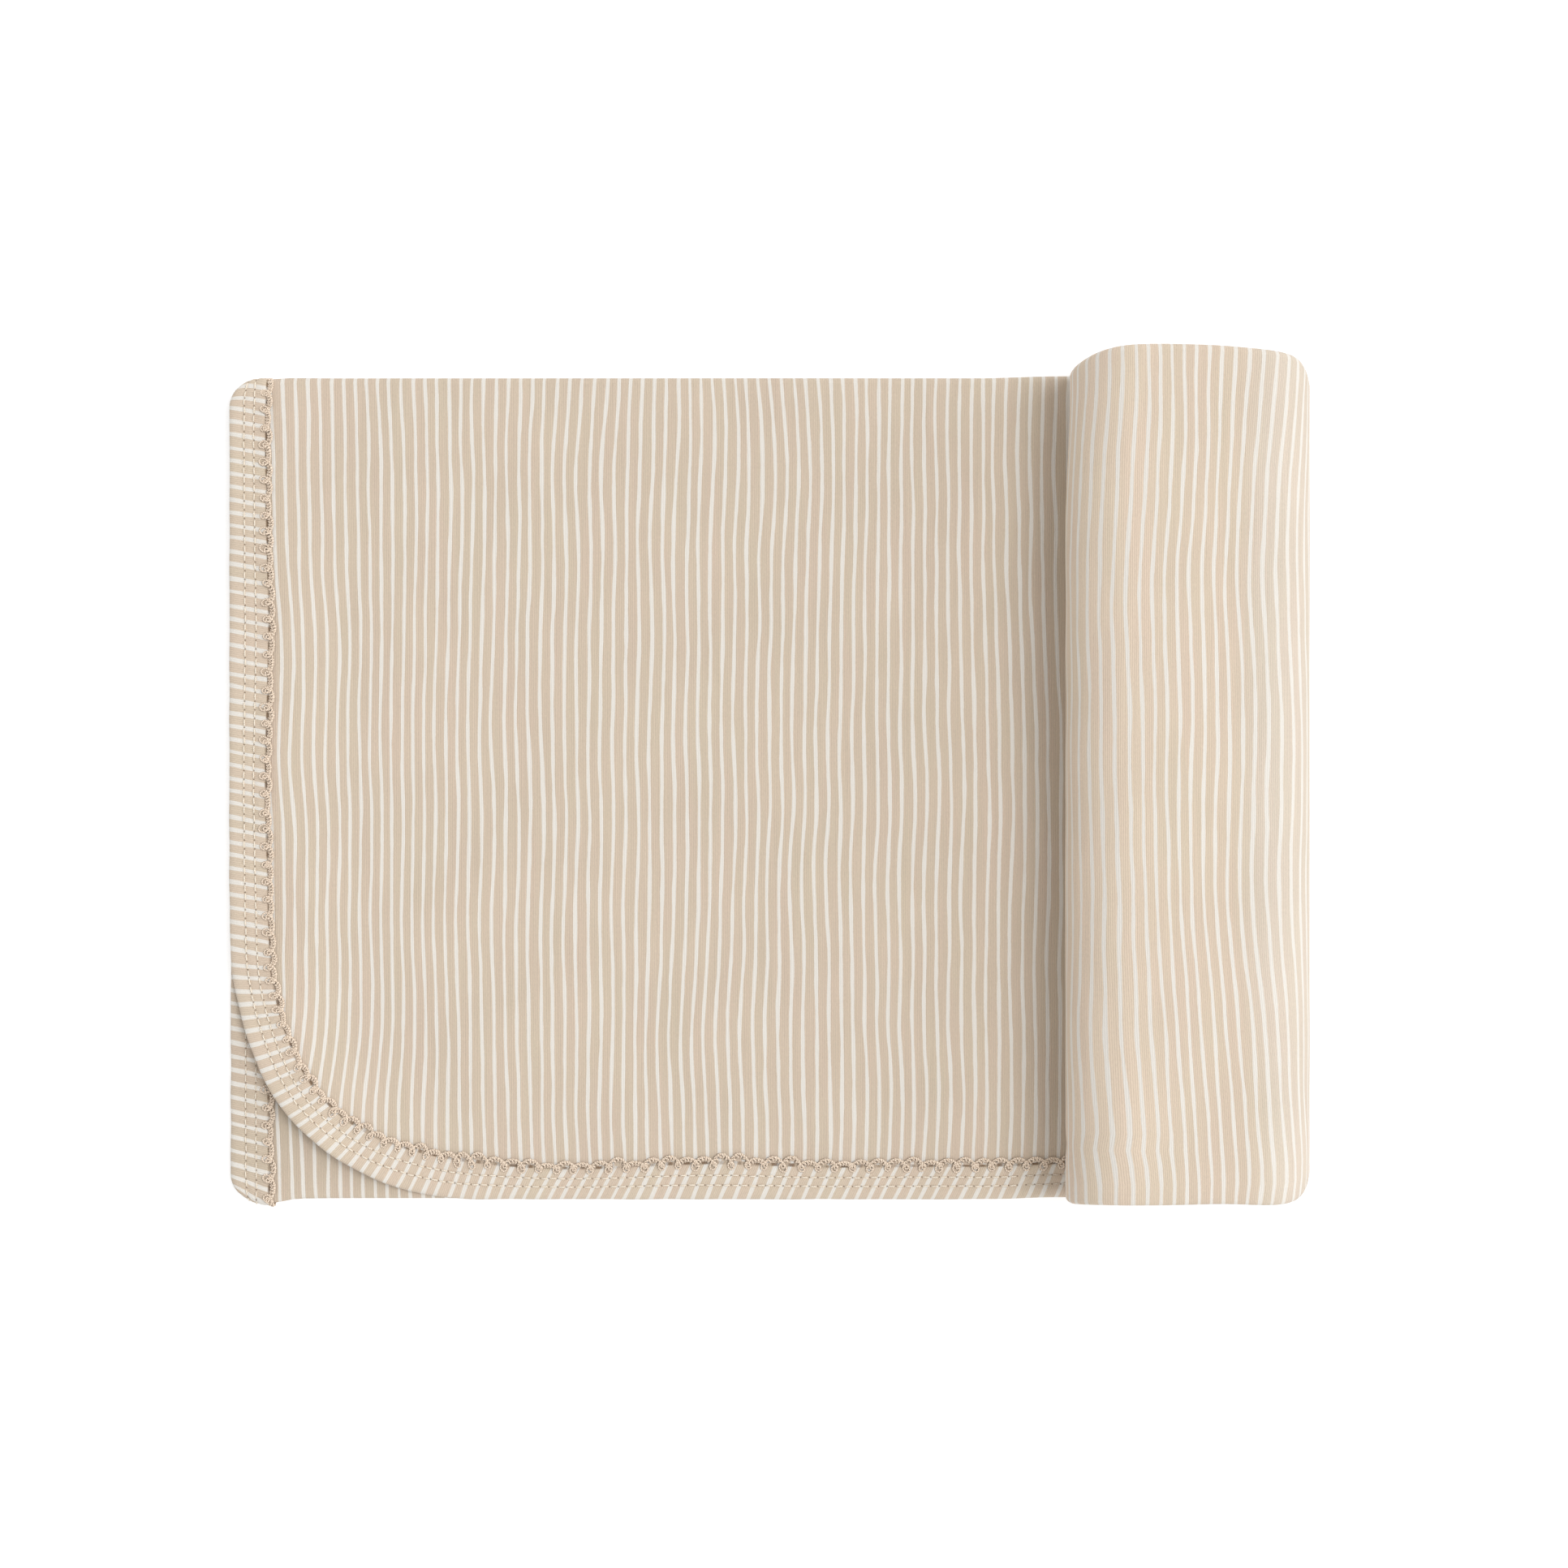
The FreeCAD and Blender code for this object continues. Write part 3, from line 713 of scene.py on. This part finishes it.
class Nodes:
    """A short way to write a node tree."""

    def __init__(self, name):
        self.material = bpy.data.materials.new(name)
        self.material.use_nodes = True
        self.tree = self.material.node_tree
        self.tree.nodes.clear()

    def add(self, kind, inputs=None, **settings):
        node = self.tree.nodes.new(kind)
        for key, value in settings.items():
            setattr(node, key, value)
        for key, value in (inputs or {}).items():
            self.set(node.inputs[key], value)
        return node

    def set(self, socket, value):
        if isinstance(value, bpy.types.NodeSocket):
            self.tree.links.new(value, socket)
        else:
            socket.default_value = value

    def math(self, operation, *values, clamp=False):
        node = self.add("ShaderNodeMath", operation=operation, use_clamp=clamp)
        for number, value in enumerate(values):
            self.set(node.inputs[number], value)
        return node.outputs[0]

    def noise(self, x, y, z, detail=1.0):
        vector = self.add("ShaderNodeCombineXYZ", {0: x, 1: y, 2: z}).outputs[0]
        node = self.add("ShaderNodeTexNoise", {"Vector": vector, "Scale": 1.0, "Detail": detail,
                                               "Roughness": 0.5})
        return self.math("SUBTRACT", node.outputs[0], 0.5)

    def range(self, value, low, high, to_low, to_high, smoothed=True):
        node = self.add("ShaderNodeMapRange", {0: value, 1: low, 2: high, 3: to_low, 4: to_high})
        node.interpolation_type = "SMOOTHSTEP" if smoothed else "LINEAR"
        return node.outputs[0]

    def mix(self, share, a, b):
        node = self.add("ShaderNodeMix", data_type="RGBA")
        self.set(node.inputs[0], share)
        self.set(node.inputs[6], a)
        self.set(node.inputs[7], b)
        return node.outputs[2]

    def total(self, *values):
        """The sum of several values."""
        result = values[0]
        for value in values[1:]:
            result = self.math("ADD", result, value)
        return result

    def scaled(self, factor, value):
        return self.math("MULTIPLY", value, factor)

    def coordinates(self, uv_map):
        """The two coordinates of a UV map, in millimetres."""
        uv = self.add("ShaderNodeUVMap", uv_map=uv_map).outputs[0]
        split = self.add("ShaderNodeSeparateXYZ", {0: uv})
        return self.scaled(1000.0, split.outputs[0]), self.scaled(1000.0, split.outputs[1])

    def tinted(self, color, tone):
        """A colour made lighter or darker by a factor."""
        return self.add("ShaderNodeVectorMath", {0: color, "Scale": tone}, operation="SCALE").outputs[0]

    def finish(self, color, height, strength, distance, roughness, sheen):
        """A matt cloth shader with a bump from the height, and the material."""
        bump = self.add("ShaderNodeBump", {"Height": height, "Strength": strength,
                                           "Distance": distance}).outputs[0]
        shader = self.add("ShaderNodeBsdfPrincipled", {
            "Base Color": color, "Roughness": roughness, "Normal": bump,
            "Specular IOR Level": 0.15, "Sheen Weight": sheen, "Sheen Roughness": 0.45})
        output = self.add("ShaderNodeOutputMaterial")
        self.tree.links.new(shader.outputs[0], output.inputs[0])
        return self.material


GROUND = linear(201, 186, 166)
ROSY_GROUND = linear(203, 185, 167)
PRINT = linear(224, 219, 211)
NEEDLE_HOLE_SHADE = linear(122, 98, 76)
TRIM_GAP_SHADE = linear(126, 101, 78)
STRIPE_PITCH = 4.2
WALE_PITCH = 0.63
COURSE_PITCH = 0.52


def stripes(n, u, v, shared, half_width, print_share):
    """How much of the print covers a place: thin, wobbly, hand-drawn lines."""
    broad = n.noise(n.scaled(1 / 120, u), n.scaled(1 / 105, v), 6.0)
    # Beside the left edge the print bows out half way down the flap
    down = n.range(v, V_OUTER, V_END, 0.0, math.pi, smoothed=False)
    bow = n.math("MULTIPLY", n.math("SINE", down), n.range(u, 15.0, 95.0, 6.3, 0.0))
    moved = n.total(u, n.scaled(2.2, shared), n.scaled(9.0, broad), n.scaled(-1, bow), -2.1)
    steps = n.scaled(1 / STRIPE_PITCH, moved)
    place_in = n.scaled(STRIPE_PITCH, n.math("SUBTRACT", n.math("FRACT", steps), 0.5))
    # Each line has its own wobble and its own changes of width
    key = n.scaled(7.31, n.math("FLOOR", steps))
    wobble = n.noise(key, n.scaled(1 / 44, v), 0.5)
    jitter = n.noise(key, n.scaled(1 / 12, v), 9.5)
    width = n.noise(key, n.scaled(1 / 15, v), 17.5, 2.0)
    ragged = n.noise(n.scaled(1 / 0.32, u), n.scaled(1 / 0.4, v), 5.0)
    offset = n.total(n.scaled(1.6, wobble), n.scaled(0.42, jitter))
    away = n.math("ABSOLUTE", n.math("SUBTRACT", place_in, offset))
    half = n.total(half_width, n.scaled(0.7, width))
    edge = n.total(n.math("SUBTRACT", away, half), n.scaled(0.22, ragged))
    return n.range(edge, -0.13, 0.13, print_share, 0.0)


def painted_light_and_shade(n, u, v):
    """Painted light and shade: the cloth made lighter over the roll, darker on its inner wraps and the
    lower layer, and the share of painted light on the roll's right side.
    """
    # Painted light: the cloth is made paler over the roll and more so on its left flank; painted shade
    # darkens its inner wraps
    tone = n.range(u, WIND_START + 20, WIND_START + 50, 1.0, 1.06)
    tone = n.math("MULTIPLY", tone, n.range(u, ROLL_CREST + 4, ROLL_CREST + 24, 1.0, 1.10))
    tone = n.math("MULTIPLY", tone, n.range(u, 600.0, 700.0, 1.0, 0.9))
    # Painted light: the roll's right side is mixed toward the print's paler colour, then darkened a
    # little
    most_painted_light = 0.26
    painted_light_share = n.math("MULTIPLY", n.range(u, WIND_START + 5, WIND_START + 35, 0.0, 1.0),
                   n.range(u, ROLL_CREST - 26, ROLL_CREST - 12, most_painted_light, 0.0))
    tone = n.math("MULTIPLY", tone, n.range(painted_light_share, 0.0, most_painted_light, 1.0, 0.955))
    # Painted shade: the lower layer is made a little darker than the cloth that lies over it
    tone = n.math("MULTIPLY", tone, n.range(v, V_LOW - 6.0, V_BACK + 6.0, 0.93, 1.0))
    return tone, painted_light_share


def needle_holes(n, way, inset):
    """How deep a place is in one of the dimples where the needles went through."""
    steps = n.scaled(1 / STITCH_PITCH, way)
    along = n.scaled(STITCH_PITCH, n.math("SUBTRACT", n.math("FRACT", steps), 0.5))
    off_rows = [n.math("ABSOLUTE", n.math("SUBTRACT", inset, row)) for row in STITCH_ROWS]
    nearest = n.math("MINIMUM", *off_rows)
    away = n.math("SQRT", n.total(n.math("MULTIPLY", along, along), n.math("MULTIPLY", nearest, nearest)))
    return n.range(away, 0.14, 0.46, 1.0, 0.0)


def painted_gap_shade(n, way, inset):
    """Painted shade: small dark spots on the tape's inner edge and flange under some of the trim's
    arches, where the gaps lie in shade.
    """
    arch = n.math("ABSOLUTE", n.math("SINE", n.scaled(math.pi / SCALLOP, way)))
    chance = n.noise(n.scaled(1 / 7, way), 3.5, 1.5)
    gap_shade = n.range(n.total(arch, chance), 0.78, 1.06, 0.1, 0.85)
    return n.math("MULTIPLY", n.range(inset, 12.9, 13.3, 0.0, 1.0), gap_shade)


def knit(name, print_share, is_tape=False):
    """Printed cotton knit: wobbly stripes, fine wales and a soft uneven ground."""
    n = Nodes(name)
    u, v = n.coordinates("cloth")
    shared = n.noise(n.scaled(1 / 42, u), n.scaled(1 / 48, v), 3.0)
    mask = stripes(n, u, v, shared, 0.67 if is_tape else 0.61, print_share)
    wale = n.math("SINE", n.scaled(2 * math.pi / WALE_PITCH, n.total(u, n.scaled(1.2, shared))))
    course = n.math("SINE", n.total(n.scaled(2 * math.pi / COURSE_PITCH, v), n.scaled(1.3, wale)))
    fibre = n.noise(n.scaled(1 / 0.35, u), n.scaled(1 / 1.1, v), 8.0, 3.0)
    cloud = n.noise(n.scaled(1 / 30, u), n.scaled(1 / 34, v), 12.0, 2.0)
    streak = n.noise(n.scaled(1 / 1.3, u), n.scaled(1 / 40, v), 14.0, 2.0)
    shade = n.total(n.scaled(0.22, fibre), n.scaled(0.10, cloud), n.scaled(0.14, streak),
                    n.scaled(0.06, wale))
    rosy = n.noise(n.scaled(1 / 9, u), n.scaled(1 / 55, v), 23.0, 2.0)
    tint = n.mix(n.range(rosy, -0.22, 0.22, 0.0, 1.0), GROUND, ROSY_GROUND)
    if is_tape:
        way, inset = n.coordinates("stitch")
        # The tape's ground is a little lighter than the cloth's; painted shade darkens it from the roll
        # on to the lower layer's edge
        tone = n.scaled(1.045, n.range(way, OUTER_STOP, INNER_START, 1.0, 0.93))
    else:
        # Painted light on the roll's right side, mixed toward the print's colour
        tone, painted_light_share = painted_light_and_shade(n, u, v)
        tint = n.mix(painted_light_share, tint, PRINT)
    ground = n.tinted(tint, n.math("MULTIPLY", tone, n.total(1.0, shade)))
    printed = n.tinted(PRINT[:3], n.total(1.0, n.scaled(0.35, shade)))
    color = n.mix(mask, ground, printed)
    height = n.total(n.scaled(0.5, wale), n.scaled(0.09, course), n.scaled(0.9, fibre))
    if is_tape:
        hole = needle_holes(n, way, inset)
        # Painted shade: the needle holes' dimples are coloured dark, besides being pressed in by the bump
        color = n.mix(n.scaled(0.7, hole), color, NEEDLE_HOLE_SHADE)
        # Painted shade in the gaps under the trim's arches
        color = n.mix(painted_gap_shade(n, way, inset), color, TRIM_GAP_SHADE)
        height = n.math("SUBTRACT", height, n.scaled(3.0, hole))
    return n.finish(color, height, strength=0.55, distance=0.00012, roughness=0.93, sheen=0.12)


def thread(name, color, shade_color, twist):
    """Cotton thread with a twist of so many millimetres, with painted shade on its flanks, its underside
    and between its plies, and its top painted lighter.
    """
    n = Nodes(name)
    length, around = n.coordinates("thread")
    # The way round is kept as a share of the whole turn
    around = n.scaled(MM, around)
    along = n.scaled(1 / twist, length)
    # Painted shade between the plies, mixed with tone that differs at random
    ply = n.math("SINE", n.total(n.scaled(2 * math.pi, along), n.scaled(4 * math.pi, around)))
    uneven = n.noise(n.scaled(0.8, along), n.scaled(3.0, around), 2.0, 3.0)
    share = n.math("ADD", n.total(0.56, n.scaled(0.25, ply)), n.scaled(0.9, uneven), clamp=True)
    # Painted shade: the thread's flanks and underside are darkened as if in the shade of its neighbours,
    # and its top is made lighter
    top = n.math("SINE", n.scaled(2 * math.pi, around))
    share = n.math("MULTIPLY", share, n.range(top, -0.7, 0.5, 0.1, 1.35), clamp=True)
    height = n.total(ply, n.scaled(1.5, uneven))
    tone = n.mix(share, shade_color, color)
    return n.finish(tone, height, strength=0.6, distance=0.00008, roughness=0.9, sheen=0.15)


KNIT_FACE = knit("knit_face", 1.0)
KNIT_REVERSE = knit("knit_reverse", 0.22)
KNIT_TAPE = knit("knit_tape", 1.0, is_tape=True)
TRIM_THREAD = thread("picot_thread", linear(246, 228, 208), linear(146, 122, 98), 0.8)
SEWING_THREAD = thread("sewing_thread", linear(250, 240, 224), linear(216, 198, 174), 0.5)

# ---------------------------------------------------------------- the blanket's pieces

# Rows of cloth across the strip: coarse on the flaps and the back, fine in folds and corners
body_rows = np.concatenate([
    corner_rows(False),
    np.linspace(CORNER, V_LOW, 36)[1:],
    V_LOW + (V_BACK - V_LOW) * np.linspace(0, 1, 9)[1:],
    np.linspace(V_BACK, V_TOP, 52)[1:],
])
flap_rows = np.concatenate([
    V_TOP + (V_OUTER - V_TOP) * np.linspace(0, 1, 9),
    np.linspace(V_OUTER, V_END - CORNER, 42)[1:],
    corner_rows(True)[1:],
])
KNIT = (KNIT_FACE, KNIT_REVERSE)
blanket = cloth_piece("blanket_panel", body_rows, 0.0, LENGTH, KNIT)
outer_flap = cloth_piece("outer_flap_panel", flap_rows, 0.0, SEAM_U, KNIT)
rolled_flap = cloth_piece("rolled_flap_panel", flap_rows, SEAM_U, LENGTH, KNIT)

outer_tape = binding_piece("outer_edge_binding", 0.0, OUTER_STOP, step=0.76, material=KNIT_TAPE)
rolled_tape = binding_piece("rolled_edge_binding", OUTER_STOP, INNER_START, step=1.6, material=KNIT_TAPE)
inner_tape = binding_piece("inner_edge_binding", INNER_START, EDGE_TOTAL, step=0.9, material=KNIT_TAPE)

# The trim is finely made where it shows, and a little way on under the roll
FINE_STOP = OUTER_STOP + 27.0
outer_trim = tubes("outer_edge_trim", trim_paths(0.0, OUTER_STOP, fine=True),
                   radius=0.33, sides=6, material=TRIM_THREAD)
rolled_trim = tubes("rolled_edge_trim", trim_paths(OUTER_STOP - SCALLOP, FINE_STOP, fine=True)
                    + trim_paths(FINE_STOP, INNER_START, fine=False),
                    radius=0.40, sides=5, material=TRIM_THREAD)
inner_trim = tubes("inner_edge_trim", trim_paths(INNER_START, EDGE_TOTAL, fine=True),
                   radius=0.35, sides=5, material=TRIM_THREAD)

outer_stitches = tubes("outer_edge_stitches", stitch_paths(0.0, OUTER_STOP, points=5),
                       radius=0.27, sides=6, material=SEWING_THREAD)
rolled_stitches = tubes("rolled_edge_stitches", stitch_paths(OUTER_STOP, INNER_START, points=3),
                        radius=0.20, sides=4, material=SEWING_THREAD)
inner_stitches = tubes("inner_edge_stitches", stitch_paths(INNER_START, EDGE_TOTAL, points=4),
                       radius=0.27, sides=5, material=SEWING_THREAD)
outer_looper = tubes("outer_edge_looper", looper_path(0.0, OUTER_STOP),
                     radius=0.17, sides=5, material=SEWING_THREAD)
inner_looper = tubes("inner_edge_looper", looper_path(INNER_START, EDGE_TOTAL),
                     radius=0.17, sides=5, material=SEWING_THREAD)

# ---------------------------------------------------------------- bodies and hidden CAD parts

STACK, TURNED, ROLL = "folded_stack", "corner", "roll"
for piece in (outer_flap, outer_tape, outer_trim, outer_stitches, outer_looper):
    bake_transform(piece)
for piece in (blanket, rolled_flap, rolled_tape, rolled_trim, rolled_stitches):
    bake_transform(piece)
for piece in (inner_tape, inner_trim, inner_stitches, inner_looper):
    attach(piece, STACK)

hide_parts("back_panel", "bottom_fold", "inner_flap", "roll_back_layer",
            "roll_inner_layer", "roll_bottom_fold")
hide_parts("outer_flap", "corner_flap", "top_fold")
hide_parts("roll_outer_layer", "roll_top_fold")
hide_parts("outer_left_binding", "outer_bottom_binding", "corner_binding",
            "top_fold_binding")
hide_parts("inner_binding", "bottom_fold_binding", "back_left_binding")
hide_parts("roll_bottom_binding", "roll_inner_binding", "end_back_binding",
            "end_inner_binding", "end_outer_binding")
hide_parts("outer_left_trim", "outer_bottom_trim", "corner_trim")
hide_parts("inner_trim", "back_left_trim")
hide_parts("roll_bottom_trim", "roll_inner_trim")
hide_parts("outer_left_stitching", "outer_bottom_stitching", "corner_stitching")
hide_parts("inner_stitching")
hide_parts("roll_bottom_stitching")

# ---------------------------------------------------------------- floor, light and camera

FLOOR_HALF = 18.0
FLOOR_LEVEL = -0.0002
corners = [(x * FLOOR_HALF, y * FLOOR_HALF, FLOOR_LEVEL) for x, y in ((-1, -1), (1, -1), (1, 1), (-1, 1))]
floor_mesh = bpy.data.meshes.new("floor")
floor_mesh.from_pydata(corners, [], [(0, 1, 2, 3)])
floor = bpy.data.objects.new("floor", floor_mesh)
bpy.context.scene.collection.objects.link(floor)
pale = Nodes("pale_floor")
floor_shader = pale.add("ShaderNodeBsdfPrincipled", {
    "Base Color": (0.55, 0.55, 0.55, 1.0), "Roughness": 0.9,
    "Emission Color": (1.0, 1.0, 1.0, 1.0), "Emission Strength": 0.56})
pale.tree.links.new(floor_shader.outputs[0], pale.add("ShaderNodeOutputMaterial").inputs[0])
floor_mesh.materials.append(pale.material)

# The studio's walls are white, brighter in a band at the horizon that meets the pale floor
HORIZON_LIGHT, WALL_LIGHT = 1.0, 0.63
BAND_STARTS, BAND_ENDS = 0.14, 0.24
world = bpy.data.worlds.new("studio")
world.use_nodes = True
walls = world.node_tree.nodes["Background"]
walls.inputs[0].default_value = (1.0, 1.0, 1.0, 1.0)
heading = world.node_tree.nodes.new("ShaderNodeTexCoord")
parts = world.node_tree.nodes.new("ShaderNodeSeparateXYZ")
band = world.node_tree.nodes.new("ShaderNodeMapRange")
for number, value in enumerate((BAND_STARTS, BAND_ENDS, HORIZON_LIGHT, WALL_LIGHT)):
    band.inputs[number + 1].default_value = value
world.node_tree.links.new(heading.outputs["Generated"], parts.inputs[0])
world.node_tree.links.new(parts.outputs[2], band.inputs[0])
world.node_tree.links.new(band.outputs[0], walls.inputs[1])
bpy.context.scene.world = world


def softbox(name, elevation, azimuth, strength, width):
    """A wide, distant soft light; its height, side and width are in degrees."""
    lamp = bpy.data.lights.new(name, "SUN")
    lamp.energy = strength
    lamp.angle = math.radians(width)
    obj = bpy.data.objects.new(name, lamp)
    obj.rotation_euler = (0, math.radians(90 - elevation), math.radians(azimuth))
    bpy.context.scene.collection.objects.link(obj)


softbox("key", elevation=64, azimuth=15, strength=1.56, width=34)
softbox("side", elevation=25, azimuth=8, strength=0.46, width=30)

# The camera looks straight down, a little off the object's centre
CAMERA_X, CAMERA_Y, CAMERA_Z = 6.5 * MM, -0.84 * MM, 1.0055
camera_data = bpy.data.cameras.new("camera")
camera_data.sensor_width = 36.0
camera_data.lens = 65.6
camera_data.clip_end = 20.0
camera = bpy.data.objects.new("camera", camera_data)
camera.location = (CAMERA_X, CAMERA_Y, CAMERA_Z)
bpy.context.scene.collection.objects.link(camera)
bpy.context.scene.camera = camera
bpy.context.scene.view_settings.view_transform = "Standard"
